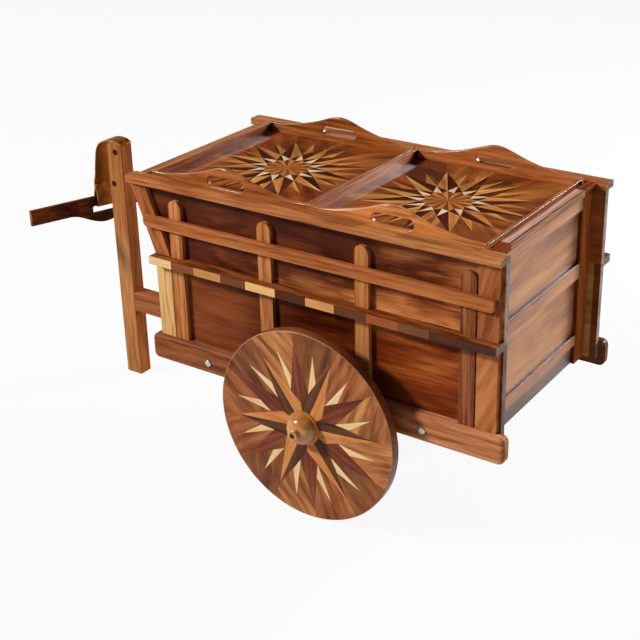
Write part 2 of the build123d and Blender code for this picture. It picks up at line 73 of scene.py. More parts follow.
def add(tree, kind, inputs=None, stops=(), **settings):
    """Adds a node. Inputs are values or other nodes' outputs, and stops are a colour ramp's places and colours."""
    made = tree.nodes.new(kind)
    for key, value in settings.items():
        setattr(made, key, value)
    for key, value in (inputs or {}).items():
        if isinstance(value, bpy.types.NodeSocket):
            tree.links.new(value, made.inputs[key])
        else:
            made.inputs[key].default_value = value
    for i, (place, code) in enumerate(stops):
        point = made.color_ramp.elements[i] if i < 2 else made.color_ramp.elements.new(place)
        point.position = place
        point.color = linear(code)
    return made


def new_object(name, data):
    """Adds an object to the scene."""
    made = bpy.data.objects.new(name, data)
    bpy.context.scene.collection.objects.link(made)
    return made


def keep_modified_mesh(piece):
    """Gives a piece the mesh that its modifiers make, and takes the modifiers off."""
    graph = bpy.context.evaluated_depsgraph_get()
    mesh = bpy.data.meshes.new_from_object(piece.evaluated_get(graph), preserve_all_data_layers=True,
                                           depsgraph=graph)
    piece.modifiers.clear()
    piece.data = mesh
    mesh.name = piece.name


def material_with_nodes(name):
    """A material whose node tree is empty, and that tree."""
    made = bpy.data.materials.new(name)
    made.use_nodes = True
    made.node_tree.nodes.clear()
    return made, made.node_tree


# Directions of the grain, as turns that bring it onto X
ALONG_X = (0, 0, 0)
ALONG_Y = (0, 0, -90)
ALONG_Z = (0, 90, 0)

# Ways across the cart
REARWARD, RIGHTWARD, LEFTWARD = (1, 0, 0), (0, 1, 0), (0, -1, 0)
UPWARD, DOWNWARD = (0, 0, 1), (0, 0, -1)

# Every wood's slow bends and fibres, along the grain and across it, and the depth of its pores, in millimetres
BEND_SIZE, FIBRE_SIZE, PORE_DEPTH = (240, 70), (70, 4.2), 0.3
# Where its dark, middle and pale tone lie in the pattern, and how far its rings lean from the grain, in radians
TONE_PLACES, RING_TILT = (0.28, 0.5, 0.72), (0, 0.03, 0.04)
# How ragged a change of tone is, as a share of its width, and how far the fibres change the roughness
RAGGED_SHARE, ROUGH_SPREAD = 0.8, 0.2
# The length at which a wave texture of scale 1 repeats
WAVE_REPEAT = 0.314


def per_size(along, across):
    """The scale of a pattern that is so long along the grain and so wide across it."""
    return (1 / along, 1 / across, 1 / across)


def lacquered_wood(name, tones, grain=ALONG_X, heart=(0, 0), ring=9, streak=(300, 24), wander=14, rings=0.12,
                   fibres=0.32, rough=0.36, shine=0.05, polish=None, coat=0.0, pores=0.1, veneer=False, drifts=()):
    """Hardwood under clear lacquer, which gives a warm ground with darker growth rings, long streaks and fibres.
    tones run from the dark lines to the pale ground. heart is where the tree's heart lies across the grain, and
    ring, streak and wander are sizes in millimetres. The fibres are about five times as coarse as real ones,
    because real ones are too fine to show. A veneer's grain follows its own map. polish gives a direction, and
    the shine of the faces that look along it. Each of the drifts follows a place in metres, or a face's direction:
    it gives the way to follow it, where along that way the wood starts and ends to change, and the new tones."""
    made, tree = material_with_nodes(name)
    if veneer:
        place = add(tree, "ShaderNodeUVMap", uv_map="grain").outputs["UV"]
    else:
        place = add(tree, "ShaderNodeTexCoord").outputs["Object"]
    turn = [math.radians(a) for a in grain]
    along = add(tree, "ShaderNodeMapping", {"Vector": place, "Rotation": turn, "Scale": [1 / MM] * 3}).outputs[0]

    bend_at = add(tree, "ShaderNodeVectorMath", {0: along, 1: per_size(*BEND_SIZE)}, operation="MULTIPLY")
    bend = add(tree, "ShaderNodeTexNoise", {"Vector": bend_at.outputs[0], "Scale": 1, "Detail": 2})
    bent = add(tree, "ShaderNodeVectorMath", {0: bend.outputs["Color"], 1: (0, wander, wander), 2: along},
               operation="MULTIPLY_ADD")
    centred = add(tree, "ShaderNodeVectorMath", {0: bent.outputs[0], 1: (0, *heart)}, operation="SUBTRACT")
    tilted = add(tree, "ShaderNodeMapping", {"Vector": centred.outputs[0], "Rotation": RING_TILT})
    year = add(tree, "ShaderNodeTexWave", {
        "Vector": tilted.outputs[0], "Scale": WAVE_REPEAT / ring, "Distortion": 2.5, "Detail": 2,
        "Detail Scale": 0.7,
    }, wave_type="RINGS", rings_direction="X")

    streak_at = add(tree, "ShaderNodeVectorMath", {0: bent.outputs[0], 1: per_size(*streak)}, operation="MULTIPLY")
    streaks = add(tree, "ShaderNodeTexNoise", {"Vector": streak_at.outputs[0], "Scale": 1, "Detail": 6,
                                               "Roughness": 0.55})
    fibre_at = add(tree, "ShaderNodeVectorMath", {0: along, 1: per_size(*FIBRE_SIZE)}, operation="MULTIPLY")
    fibre = add(tree, "ShaderNodeTexNoise", {"Vector": fibre_at.outputs[0], "Scale": 1, "Detail": 3})

    ringed = add(tree, "ShaderNodeMath", {0: year.outputs["Fac"], 1: rings, 2: -rings / 2},
                 operation="MULTIPLY_ADD")
    fibred = add(tree, "ShaderNodeMath", {0: fibre.outputs["Fac"], 1: 2 * fibres, 2: -fibres},
                 operation="MULTIPLY_ADD")
    lines = add(tree, "ShaderNodeMath", {0: ringed.outputs[0], 1: fibred.outputs[0]})
    shade = add(tree, "ShaderNodeMath", {0: streaks.outputs["Fac"], 1: lines.outputs[0]})
    tone = add(tree, "ShaderNodeValToRGB", {"Fac": shade.outputs[0]},
               stops=zip(TONE_PLACES, tones)).outputs["Color"]
    for followed, way, start, end, far_tones in drifts:
        far = add(tree, "ShaderNodeValToRGB", {"Fac": shade.outputs[0]}, stops=zip(TONE_PLACES, far_tones))
        spot = add(tree, "ShaderNodeTexCoord").outputs[followed]
        reach = add(tree, "ShaderNodeVectorMath", {0: spot, 1: way}, operation="DOT_PRODUCT")
        ragged = RAGGED_SHARE * (end - start)
        patchy = add(tree, "ShaderNodeMath", {0: streaks.outputs["Fac"], 1: ragged, 2: reach.outputs["Value"]},
                     operation="MULTIPLY_ADD")
        share = add(tree, "ShaderNodeMapRange", {"Value": patchy.outputs[0], "From Min": start + ragged / 2,
                                                 "From Max": end + ragged / 2}, interpolation_type="SMOOTHSTEP")
        tone = add(tree, "ShaderNodeMix", {"Factor": share.outputs["Result"], 6: tone, 7: far.outputs["Color"]},
                   data_type="RGBA").outputs[2]
    gloss = add(tree, "ShaderNodeMapRange", {
        "Value": fibre.outputs["Fac"], "From Min": 0.3, "From Max": 0.7,
        "To Min": (1 - ROUGH_SPREAD) * rough, "To Max": (1 + ROUGH_SPREAD) * rough,
    })
    dents = add(tree, "ShaderNodeBump", {"Height": fibre.outputs["Fac"], "Strength": pores,
                                         "Distance": PORE_DEPTH * MM})
    surface = add(tree, "ShaderNodeBsdfPrincipled", {
        "Base Color": tone, "Roughness": gloss.outputs["Result"], "IOR": 1.5, "Specular IOR Level": shine,
        "Normal": dents.outputs["Normal"], "Coat Weight": coat, "Coat Roughness": 0.14,
    })
    if polish:
        toward, polished = polish
        face = add(tree, "ShaderNodeTexCoord").outputs["Normal"]
        facing = add(tree, "ShaderNodeVectorMath", {0: face, 1: toward}, operation="DOT_PRODUCT")
        level = add(tree, "ShaderNodeMapRange", {"Value": facing.outputs["Value"], "From Min": 0.4, "From Max": 0.9,
                                                 "To Min": shine, "To Max": polished})
        tree.links.new(level.outputs["Result"], surface.inputs["Specular IOR Level"])
    add(tree, "ShaderNodeOutputMaterial", {"Surface": surface.outputs["BSDF"]})
    return made


def dress(material, *names):
    """Gives CAD nodes their material."""
    for name in names:
        cad[name].data.materials.clear()
        cad[name].data.materials.append(material)


def both(*names):
    """The nodes with these names on the left and on the right."""
    return [f"{side}_{name}" for name in names for side in ("left", "right")]


# Woods of the box
# End faces that look rearward turn grey: a painted sheen, standing for the lacquer's reflection of the pale floor
# behind.
SHEEN_GREY_END = ("Normal", REARWARD, 0.5, 0.95, ("#6c5c54", "#8f7f76", "#a6968c"))
SHEEN_DARK_GREY_END = ("Normal", REARWARD, 0.5, 0.95, ("#4f4442", "#6c605c", "#82756f"))
SHEEN_BROWN_END = ("Normal", REARWARD, 0.5, 0.95, ("#5f4a3e", "#80665a", "#967c6c"))
UPPER_BOARD = dict(tones=("#401a0d", "#5a2815", "#75391d"), heart=(190, 600), ring=24, streak=(380, 40), wander=90,
                   rings=0.2, fibres=0.26)
# Toward the rear and the bottom the boards turn orange and lighter: partly the wood's own tone, partly painted
# light.
ORANGE_AND_LIT_REAR = ("Object", (0.5, 0, -1.4), -0.67, -0.46, ("#743415", "#c06c38", "#e6a262"))
BROWN_STRIP = ("Object", REARWARD, 0.598, 0.602, ("#804622", "#9a5628", "#ac6632"))
dress(lacquered_wood("Rosewood left board", **UPPER_BOARD, drifts=[ORANGE_AND_LIT_REAR, SHEEN_GREY_END]), "left_upper_board")
dress(lacquered_wood("Rosewood right board", **UPPER_BOARD, drifts=[ORANGE_AND_LIT_REAR, BROWN_STRIP, SHEEN_GREY_END]),
      "right_upper_board")
LOWER_BOARD = dict(tones=("#5c2812", "#7f3f1f", "#99532b"), heart=(190, 300), ring=20, streak=(420, 30), wander=40,
                   fibres=0.2)
# Darker in the bay behind the wheel: painted shade of the wheel and the banded rail, over wood that is darker there
# too.
SHADED_DARK_MIDDLE = ("Object", REARWARD, 0.0, 0.1, ("#401306", "#62270c", "#8e4718"))
STREAKED_REAR = ("Object", REARWARD, 0.26, 0.4, ("#521b08", "#863a16", "#b8662a"))
SAPWOOD_STRIP = ("Object", REARWARD, 0.598, 0.602, ("#a06c2e", "#b88444", "#c99854"))
HEARTWOOD_STRIP = ("Object", REARWARD, 0.6135, 0.6155, ("#643619", "#74401e", "#844c26"))
dress(lacquered_wood("Cocobolo left board", **LOWER_BOARD, drifts=[SHADED_DARK_MIDDLE, STREAKED_REAR, SHEEN_DARK_GREY_END]),
      "left_lower_board")
dress(lacquered_wood("Cocobolo right board", **LOWER_BOARD,
                     drifts=[SHADED_DARK_MIDDLE, STREAKED_REAR, SAPWOOD_STRIP, HEARTWOOD_STRIP, SHEEN_GREY_END]),
      "right_lower_board")
# The left cap rail is painted lighter toward the rear as painted light; the right one turns darker toward the rear.
for side, rear_tones in (("left", ("#99582b", "#c07a47", "#d09059")), ("right", ("#784020", "#9a5a30", "#ae6e40"))):
    dress(lacquered_wood(f"Orange-brown {side} cap rail", ("#86471d", "#b06736", "#c27e47"), streak=(260, 14),
                         wander=12, drifts=[("Object", REARWARD, 0.2, 0.55, rear_tones), SHEEN_BROWN_END]),
          f"{side}_cap_rail")
dress(lacquered_wood("Red-brown mid rail", ("#874520", "#b06434", "#c07742"), streak=(300, 14), wander=10),
      *both("mid_rail"))
dress(lacquered_wood("Banded rail core", ("#552509", "#84421a", "#a8622e"), streak=(90, 14), wander=12,
                     drifts=[SHEEN_BROWN_END]), *both("banded_rail"))
SILL = dict(tones=("#65331a", "#8d4e2b", "#a66641"), streak=(380, 16), ring=14, wander=20)
# The left sill is painted lighter toward the rear as painted light; the right one turns darker toward the rear.
PAINTED_LIGHT_REAR = ("Object", REARWARD, 0.1, 0.6, ("#8f4d27", "#bd764b", "#d49265"))
DARK_REAR = ("Object", REARWARD, 0.4, 0.6, ("#522a16", "#6e3f26", "#835238"))
dress(lacquered_wood("Brown left sill", **SILL, drifts=[PAINTED_LIGHT_REAR]), "left_sill")
dress(lacquered_wood("Brown right sill", **SILL, drifts=[DARK_REAR]), "right_sill")
dress(lacquered_wood("Pale sapwood stile", ("#bd8a4f", "#dca86a", "#e8ba80"), grain=ALONG_Z, streak=(90, 6)),
      *both("lower_front_stile"))
dress(lacquered_wood("Reddish front stile", ("#7e411d", "#ac6133", "#c47b47"), grain=(0, 111, 0), streak=(260, 14)),
      *both("upper_front_stile"))
dress(lacquered_wood("Golden stake", ("#8f4f22", "#bd7641", "#cd8b54"), grain=ALONG_Z, ring=10, streak=(500, 8),
                     wander=3, drifts=[("Object", REARWARD, 0.42, 0.5, ("#65351b", "#8d5231", "#a8693f"))]),
      *both("stakes"))
dress(lacquered_wood("Golden rear stile", ("#8c4c27", "#b76d3b", "#cc8550"), grain=(0, 66, 0), streak=(170, 30),
                     ring=22, wander=30, rings=0.22, fibres=0.2), *both("lower_rear_stile"))
dress(lacquered_wood("Red-brown rear stile", ("#814420", "#aa6238", "#bd7849"), grain=(0, 74, 0), streak=(220, 26),
                     ring=18, wander=26, rings=0.06), *both("upper_rear_stile"))
GATE = dict(grain=ALONG_Y, heart=(30, 420), ring=26, streak=(620, 32), wander=34, rings=0.16, fibres=0.22,
            shine=0.35)
GATE_TONES = ("#8b563e", "#b87b50", "#d39965")
GREY_FOOT = ("Object", DOWNWARD, -0.29, -0.266, ("#4d3d34", "#766050", "#8d7866"))
dress(lacquered_wood("Tan tailgate", GATE_TONES, **GATE, drifts=[GREY_FOOT]), "gate_panel")
dress(lacquered_wood("Tan rail with a dark top edge", GATE_TONES, **GATE, drifts=[
    GREY_FOOT, ("Normal", UPWARD, 0.3, 0.8, ("#241d22", "#5b443e", "#a87a60"))]), "gate_rails")
# A dark joint line's tones, which also serve as painted shade at the cap's far end.
DARK_JOINT_AND_SHADE = ("#3a1c10", "#552d1c", "#6e402a")
CAP_FACE = ("#7a5540", "#a07358", "#b88a6c")
# The stiles' sides are painted dark as shade; their rear faces keep the wood's orange.
SHADED_STILE_SIDE = ("#4f2108", "#75310c", "#904314")
STILE_FACE = ("#864218", "#a85826", "#c07036")
# The cap's pink partly stands for a painted sheen. Its top darkens near the far stile as painted shade, and past
# both stiles it takes the stiles' painted shade.
dress(lacquered_wood("Pinkish cap with a dark joint", ("#87584e", "#bb8773", "#d7aa97"), grain=ALONG_Y,
                     streak=(420, 7), wander=6, fibres=0.26, shine=0.03, drifts=[
                         ("Object", REARWARD, 0.6015, 0.6045, DARK_JOINT_AND_SHADE),
                         ("Object", REARWARD, 0.6062, 0.6068, CAP_FACE),
                         ("Object", RIGHTWARD, 0.154, 0.162, DARK_JOINT_AND_SHADE),
                         ("Object", RIGHTWARD, 0.1665, 0.1675, SHADED_STILE_SIDE),
                         ("Object", LEFTWARD, 0.1665, 0.1675, SHADED_STILE_SIDE)]), "gate_cap")
dress(lacquered_wood("Gate stile with painted shade on its sides", SHADED_STILE_SIDE, grain=ALONG_Z, streak=(300, 12), shine=0.0,
                     drifts=[("Normal", REARWARD, 0.5, 0.9, STILE_FACE)]), "gate_stiles")
dress(lacquered_wood("Plain inner board", ("#5a2c14", "#7c431d", "#90562b"), streak=(300, 20)),
      "floor", "floor_bearers", "tray_cleats", "axle_beam")
dress(lacquered_wood("Golden-brown front wall", ("#75421d", "#9a5c2e", "#b27540"), grain=ALONG_Y, streak=(420, 30),
                     fibres=0.2), "lower_front_wall", "upper_front_wall")

# Woods of the front leg, the running gear and the trays
# The post's rearward side is darker: painted shade, over wood that is darker there too.
dress(lacquered_wood("Golden-brown post", ("#8f5a2c", "#b37541", "#c68a52"), grain=ALONG_Z, streak=(420, 30),
                     ring=24, wander=20, drifts=[
                         ("Object", UPWARD, 0.33, 0.41, ("#7e4a22", "#9e6134", "#b27441")),
                         ("Normal", REARWARD, 0.5, 0.95, ("#6e3814", "#925224", "#a86430"))]), "post")
dress(lacquered_wood("Red-brown tongue", ("#814722", "#9b5a33", "#ab6c43"), streak=(400, 12)), "tongue")
# The yoke darkens toward its middle: painted shade of the strap that wraps it there.
YOKE_END, YOKE_ARM = ("#5c2a15", "#84421f", "#a05831"), ("#3a180b", "#5a2a14", "#743c1f")
YOKE_SHADED_MIDDLE = ("#26110a", "#3c1c11", "#502a1b")
dress(lacquered_wood("Dark rosewood yoke", YOKE_END, grain=ALONG_Y, streak=(300, 12), ring=14, wander=12,
                     rings=0.06, drifts=[
                         ("Object", RIGHTWARD, -0.15, -0.1, YOKE_ARM),
                         ("Object", RIGHTWARD, -0.06, -0.03, YOKE_SHADED_MIDDLE),
                         ("Object", RIGHTWARD, 0.03, 0.06, YOKE_ARM),
                         ("Object", RIGHTWARD, 0.1, 0.15, YOKE_END)]), "yoke")
dress(lacquered_wood("Dark end-grain plug", ("#1c0b06", "#34150b", "#4c2416"), streak=(8, 8)), "post_plugs")
for side, outward in (("left", -1), ("right", 1)):
    # Each wheel's outer rim is lighter: a painted highlight along its edge.
    painted_rim_highlight = ("Normal", (0, outward, 0), 0.5, 0.9, ("#9a6a44", "#b5865c", "#cb9e74"))
    dress(lacquered_wood(f"Dark {side} wheel edge", ("#5c3018", "#824826", "#9a5e34"), streak=(200, 40),
                         fibres=0.08, rings=0.05, rough=0.24, shine=0.15, drifts=[painted_rim_highlight]), f"{side}_wheel")
dress(lacquered_wood("Turned golden hub", ("#ae6e34", "#cc8644", "#de9c5a"), grain=ALONG_Y, streak=(70, 40),
                     ring=12, fibres=0.04, rings=0.08, rough=0.16, shine=0.5, coat=0.3, pores=0.0),
      *both("hub", "back_collar"))
HANDLE = dict(tones=("#6f350f", "#9e5624", "#b86f36"), streak=(280, 16), ring=14, wander=14, rough=0.2, shine=0.1,
              polish=(UPWARD, 1.0))
# Rim wood lightens toward the rear: painted light.
PAINTED_LIGHT_HANDLE_END = ("Object", REARWARD, 0.15, 0.3, ("#9b5422", "#cf7e40", "#e49957"))
RIGHT_HANDLE = ("Object", RIGHTWARD, 0.19, 0.2, ("#84451c", "#b46632", "#c87e46"))
dress(lacquered_wood("Front tray rim wood", **HANDLE, drifts=[PAINTED_LIGHT_HANDLE_END]), "front_tray_handles")
dress(lacquered_wood("Rear tray rim wood", **HANDLE, drifts=[PAINTED_LIGHT_HANDLE_END, RIGHT_HANDLE]), "rear_tray_handles")
# The lips go near black at their far ends: painted shade in the corner against the far handle; their tops keep an
# orange-brown tone.
LIP = dict(grain=ALONG_Y, streak=(320, 14), ring=12, rough=0.24, shine=0.03, polish=(UPWARD, 0.5), pores=0.02,
           drifts=[("Object", RIGHTWARD, 0.164, 0.196, ("#120603", "#220d06", "#34170c")),
                   ("Normal", UPWARD, 0.3, 0.8, ("#7a4420", "#a86536", "#c07e48"))])
dress(lacquered_wood("Dark tray lip", ("#5e3220", "#84492f", "#9c5f41"), **LIP), "front_tray_lips")
# The rear tray's lips' pink partly stands for a painted sheen on the wood.
dress(lacquered_wood("Pinkish tray lip with painted sheen", ("#774126", "#a36444", "#ba7d58"), **LIP), "rear_tray_lips")
dress(lacquered_wood("Brown tray base", ("#552710", "#7d3f18", "#945428"), streak=(150, 16)),
      "front_tray_base", "rear_tray_base")

# Fibres of the banding in millimetres, coarser than real ones, which are too fine to show
BAND_FIBRE_SIZE = (50, 3)


def band_woods():
    """Blocks of twelve woods in a row, each from its place along the rail in millimetres, which give the eye sharp
    changes of colour with fine fibres over them."""
    made, tree = material_with_nodes("Banding of light and dark woods")
    place = add(tree, "ShaderNodeTexCoord").outputs["Object"]
    parts = add(tree, "ShaderNodeSeparateXYZ", {"Vector": place})
    low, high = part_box("left_band_blocks")
    share = add(tree, "ShaderNodeMapRange", {"Value": parts.outputs["X"], "From Min": low.x, "From Max": high.x})
    woods = ((0, "#efc385"), (58.3, "#8c4b2a"), (120.4, "#c98a4e"), (190.1, "#744223"), (256.8, "#f8c07c"),
             (330.1, "#56291a"), (403.3, "#e4a161"), (470.5, "#6c3b25"), (544.2, "#a8572f"), (613.9, "#7a4d30"),
             (683.6, "#572c1e"), (753.3, "#4c2c22"))
    joints = [(mm * MM / (high.x - low.x), wood) for mm, wood in woods]
    blocks = add(tree, "ShaderNodeValToRGB", {"Fac": share.outputs["Result"]}, stops=joints)
    blocks.color_ramp.interpolation = "CONSTANT"
    fibre_scale = [scale / MM for scale in per_size(*BAND_FIBRE_SIZE)]
    along = add(tree, "ShaderNodeVectorMath", {0: place, 1: fibre_scale}, operation="MULTIPLY")
    fibre = add(tree, "ShaderNodeTexNoise", {"Vector": along.outputs[0], "Scale": 1, "Detail": 3})
    depth = add(tree, "ShaderNodeMapRange", {"Value": fibre.outputs["Fac"], "From Min": 0.3, "From Max": 0.7,
                                             "To Min": 0.78, "To Max": 1.08})
    lined = add(tree, "ShaderNodeVectorMath", {0: blocks.outputs["Color"], "Scale": depth.outputs["Result"]},
                operation="SCALE")
    surface = add(tree, "ShaderNodeBsdfPrincipled", {"Base Color": lined.outputs[0], "Roughness": 0.36, "IOR": 1.5,
                                                     "Specular IOR Level": 0.1})
    add(tree, "ShaderNodeOutputMaterial", {"Surface": surface.outputs["BSDF"]})
    return made


dress(band_woods(), *both("band_blocks"))

# Patches in the plating, in millimetres, and how far they change the roughness
PLATING_PATCH, PLATING_SPREAD = 4, 0.08


def worn_metal(name, pale, dull, rough):
    """Metal whose plating is a little uneven, so that it reflects in soft patches."""
    made, tree = material_with_nodes(name)
    place = add(tree, "ShaderNodeTexCoord").outputs["Object"]
    patches = add(tree, "ShaderNodeTexNoise", {"Vector": place, "Scale": 1 / (PLATING_PATCH * MM), "Detail": 3})
    tone = add(tree, "ShaderNodeValToRGB", {"Fac": patches.outputs["Fac"]}, stops=((0.35, dull), (0.65, pale)))
    gloss = add(tree, "ShaderNodeMapRange", {"Value": patches.outputs["Fac"], "To Min": rough - PLATING_SPREAD,
                                             "To Max": rough + PLATING_SPREAD})
    surface = add(tree, "ShaderNodeBsdfPrincipled", {"Base Color": tone.outputs["Color"], "Metallic": 1.0,
                                                     "Roughness": gloss.outputs["Result"]})
    add(tree, "ShaderNodeOutputMaterial", {"Surface": surface.outputs["BSDF"]})
    return made


dress(worn_metal("Zinc plated steel", "#d8dcd8", "#a9aca8", 0.34), "sill_bolts")
dress(worn_metal("Dark steel", "#5a544c", "#2d2925", 0.42), "axle", "axle_caps", "strap_rivet")
dress(worn_metal("Dull brass", "#a9844e", "#6e4c2a", 0.36), "strap_tacks")

# Copies of CAD meshes: the gap in millimetres that is closed, and the angle from which an edge stays sharp
JOIN_GAP, SHARP_ANGLE = 0.01, 35


def merged_copy(node, name):
    """A new piece that has a CAD node's mesh, with the edges of its faces joined."""
    mesh = cad[node].data.copy()
    mesh.name = name
    joined = bmesh.new()
    joined.from_mesh(mesh)
    bmesh.ops.remove_doubles(joined, verts=joined.verts, dist=JOIN_GAP * MM)
    joined.to_mesh(mesh)
    joined.free()
    return new_object(name, mesh)


def smooth_rounded_edges(piece):
    """Smooth shading that leaves the flat faces flat."""
    piece.data.shade_smooth()
    piece.data.set_sharp_from_angle(angle=math.radians(SHARP_ANGLE))
    flat = piece.modifiers.new("Flat faces", "WEIGHTED_NORMAL")
    flat.keep_sharp = True
    keep_modified_mesh(piece)


# Corner stiles of the tailgate, planed down until they stand only a little proud of its rails
STILE_PROUD = 0.6
rail_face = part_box("gate_rails")[1].x
stile_low, stile_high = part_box("gate_stiles")
planed_stiles = merged_copy("gate_stiles", "planed_gate_stiles")
for point in planed_stiles.data.vertices:
    if point.co.x > (stile_low.x + stile_high.x) / 2:
        point.co.x += rail_face + STILE_PROUD * MM - stile_high.x
smooth_rounded_edges(planed_stiles)
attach(planed_stiles, "cart")
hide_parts("gate_stiles")

# Handle boards whose hand slots are cut lower on the right than on the left, with painted light inside: a pale
# painted reflection on the front slot's floor, painted shade on the rear one's.
# Sizes in millimetres: the slot's middle over the tray's floor, its half length and height, and its rounded rim
SLOT_RISE, SLOT_HALF_LENGTH, SLOT_HALF_HEIGHT, SLOT_RIM = 26, 46.5, 11.5, 2
# A face of the slot counts as its floor from this much of its direction upward
FACING_UP = 0.9


def in_right_slot(point, middle_x, middle_z):
    """Whether a point lies on the walls or the rim of the right board's slot."""
    return (point.y > 0 and abs(point.x - middle_x) < (SLOT_HALF_LENGTH + SLOT_RIM) * MM
            and abs(point.z - middle_z) < (SLOT_HALF_HEIGHT + SLOT_RIM) * MM)


for end, slot_top, painted_slot_lighting in (("front", 6.5, ("#7a5244", "#a37b6d", "#c09c90")),
                              ("rear", 5, ("#3a1a0c", "#4e2611", "#68381d"))):
    low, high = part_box(f"{end}_tray_handles")
    slot_x, slot_z = (low.x + high.x) / 2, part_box(f"{end}_tray_base")[1].z + SLOT_RISE * MM
    boards = merged_copy(f"{end}_tray_handles", f"{end}_tray_boards")
    for point in boards.data.vertices:
        above = point.co.z - slot_z
        if above > 0 and in_right_slot(point.co, slot_x, slot_z):
            point.co.z = slot_z + above * slot_top / SLOT_HALF_HEIGHT
    smooth_rounded_edges(boards)
    boards.data.materials.append(lacquered_wood(f"Painted lighting in the {end} right slot", painted_slot_lighting, streak=(280, 16)))
    for face in boards.data.polygons:
        if face.normal.z > FACING_UP and in_right_slot(face.center, slot_x, slot_z):
            face.material_index = 1
    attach(boards, f"{end}_tray")
    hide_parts(f"{end}_tray_handles")

# Marquetry: how deep the veneers reach and how far their layers stand proud, in millimetres, and how far apart
# in the wood, in metres, the pieces of one set and the sets of one star are cut
VENEER_DEPTH = 0.3
GROUND_LIFT, UNDER_LIFT, RAY_LIFT, TOP_LIFT = 0.06, 0.1, 0.14, 0.18
CUT_ALONG, CUT_ACROSS = 0.61, 0.37
OFFCUT_RANGE = (3, 3, 0)
SECTOR = 30


def corner(radius, angle):
    """A point at this radius and angle from a star's middle."""
    return Vector((radius * math.cos(math.radians(angle)), radius * math.sin(math.radians(angle))))


def inlay_mesh(name, pieces):
    """Flat pieces of veneer, each with its wood's number, its lift in millimetres, the angle of its grain and its
    corners in millimetres."""
    points, faces, woods, lifts, grain = [], [], [], [], []
    for number, (wood, lift, angle, corners) in enumerate(pieces):
        along, across = corner(1, angle), corner(1, angle + 90)
        faces.append(range(len(points), len(points) + len(corners)))
        for p in corners:
            points.append((p.x * MM, p.y * MM, -VENEER_DEPTH * MM))
            grain.append((p.dot(along) * MM + CUT_ALONG * number, p.dot(across) * MM + CUT_ACROSS * number))
        woods.append(wood)
        lifts.append((lift + VENEER_DEPTH) * MM)
    mesh = bpy.data.meshes.new(name)
    mesh.from_pydata(points, [], faces)
    mesh.uv_layers.new(name="grain").data.foreach_set("uv", [c for uv in grain for c in uv])
    mesh.attributes.new("wood", "INT", "FACE").data.foreach_set("value", woods)
    mesh.attributes.new("lift", "FLOAT", "FACE").data.foreach_set("value", lifts)
    return mesh


def inlay_tree(name, woods):
    """Geometry nodes that give each piece its depth, repeat the set round the centre and hand out the woods."""
    tree = bpy.data.node_groups.new(name, "GeometryNodeTree")
    for socket, kind in (("Geometry", "NodeSocketGeometry"), ("Repeats", "NodeSocketInt"),
                         ("Turn", "NodeSocketFloat"), ("Seed", "NodeSocketInt")):
        tree.interface.new_socket(socket, in_out="INPUT", socket_type=kind)
    tree.interface.new_socket("Geometry", in_out="OUTPUT", socket_type="NodeSocketGeometry")
    given = add(tree, "NodeGroupInput").outputs
    lift = add(tree, "GeometryNodeInputNamedAttribute", {"Name": "lift"}, data_type="FLOAT")
    up = add(tree, "ShaderNodeCombineXYZ", {"Z": 1.0})
    raised = add(tree, "GeometryNodeExtrudeMesh", {
        "Mesh": given["Geometry"], "Offset": up.outputs[0], "Offset Scale": lift.outputs[0], "Individual": True,
    }, mode="FACES")
    underside = add(tree, "GeometryNodeFlipFaces", {"Mesh": given["Geometry"]})
    closed = add(tree, "GeometryNodeJoinGeometry", {"Geometry": underside.outputs[0]})
    tree.links.new(raised.outputs["Mesh"], closed.inputs["Geometry"])
    step = add(tree, "ShaderNodeMath", {0: 2 * math.pi, 1: given["Repeats"]}, operation="DIVIDE")
    number = add(tree, "GeometryNodeInputIndex")
    angle = add(tree, "ShaderNodeMath", {0: number.outputs[0], 1: step.outputs[0], 2: given["Turn"]},
                operation="MULTIPLY_ADD")
    spin = add(tree, "FunctionNodeEulerToRotation",
               {"Euler": add(tree, "ShaderNodeCombineXYZ", {"Z": angle.outputs[0]}).outputs[0]})
    centre = add(tree, "GeometryNodePoints", {"Count": given["Repeats"]})
    ring = add(tree, "GeometryNodeInstanceOnPoints", {"Points": centre.outputs[0], "Instance": closed.outputs[0],
                                                      "Rotation": spin.outputs[0]})
    offcut = add(tree, "FunctionNodeRandomValue", {0: (0, 0, 0), 1: OFFCUT_RANGE, "Seed": given["Seed"]},
                 data_type="FLOAT_VECTOR")
    marked = add(tree, "GeometryNodeStoreNamedAttribute", {"Geometry": ring.outputs[0], "Name": "offcut",
                                                           "Value": offcut.outputs[0]},
                 data_type="FLOAT_VECTOR", domain="INSTANCE")
    laid = add(tree, "GeometryNodeRealizeInstances", {"Geometry": marked.outputs[0]})
    grain = add(tree, "GeometryNodeInputNamedAttribute", {"Name": "grain"}, data_type="FLOAT_VECTOR")
    cut_from = add(tree, "GeometryNodeInputNamedAttribute", {"Name": "offcut"}, data_type="FLOAT_VECTOR")
    moved = add(tree, "ShaderNodeVectorMath", {0: grain.outputs[0], 1: cut_from.outputs[0]})
    shown = add(tree, "GeometryNodeStoreNamedAttribute", {"Geometry": laid.outputs[0], "Name": "grain",
                                                          "Value": moved.outputs[0]},
                data_type="FLOAT2", domain="CORNER").outputs[0]
    kind = add(tree, "GeometryNodeInputNamedAttribute", {"Name": "wood"}, data_type="INT")
    for i, wood in enumerate(woods):
        chosen = add(tree, "FunctionNodeCompare", {2: kind.outputs[0], 3: i}, data_type="INT", operation="EQUAL")
        shown = add(tree, "GeometryNodeSetMaterial", {"Geometry": shown, "Selection": chosen.outputs[0],
                                                      "Material": wood}).outputs[0]
    add(tree, "NodeGroupOutput", {"Geometry": shown})
    return tree


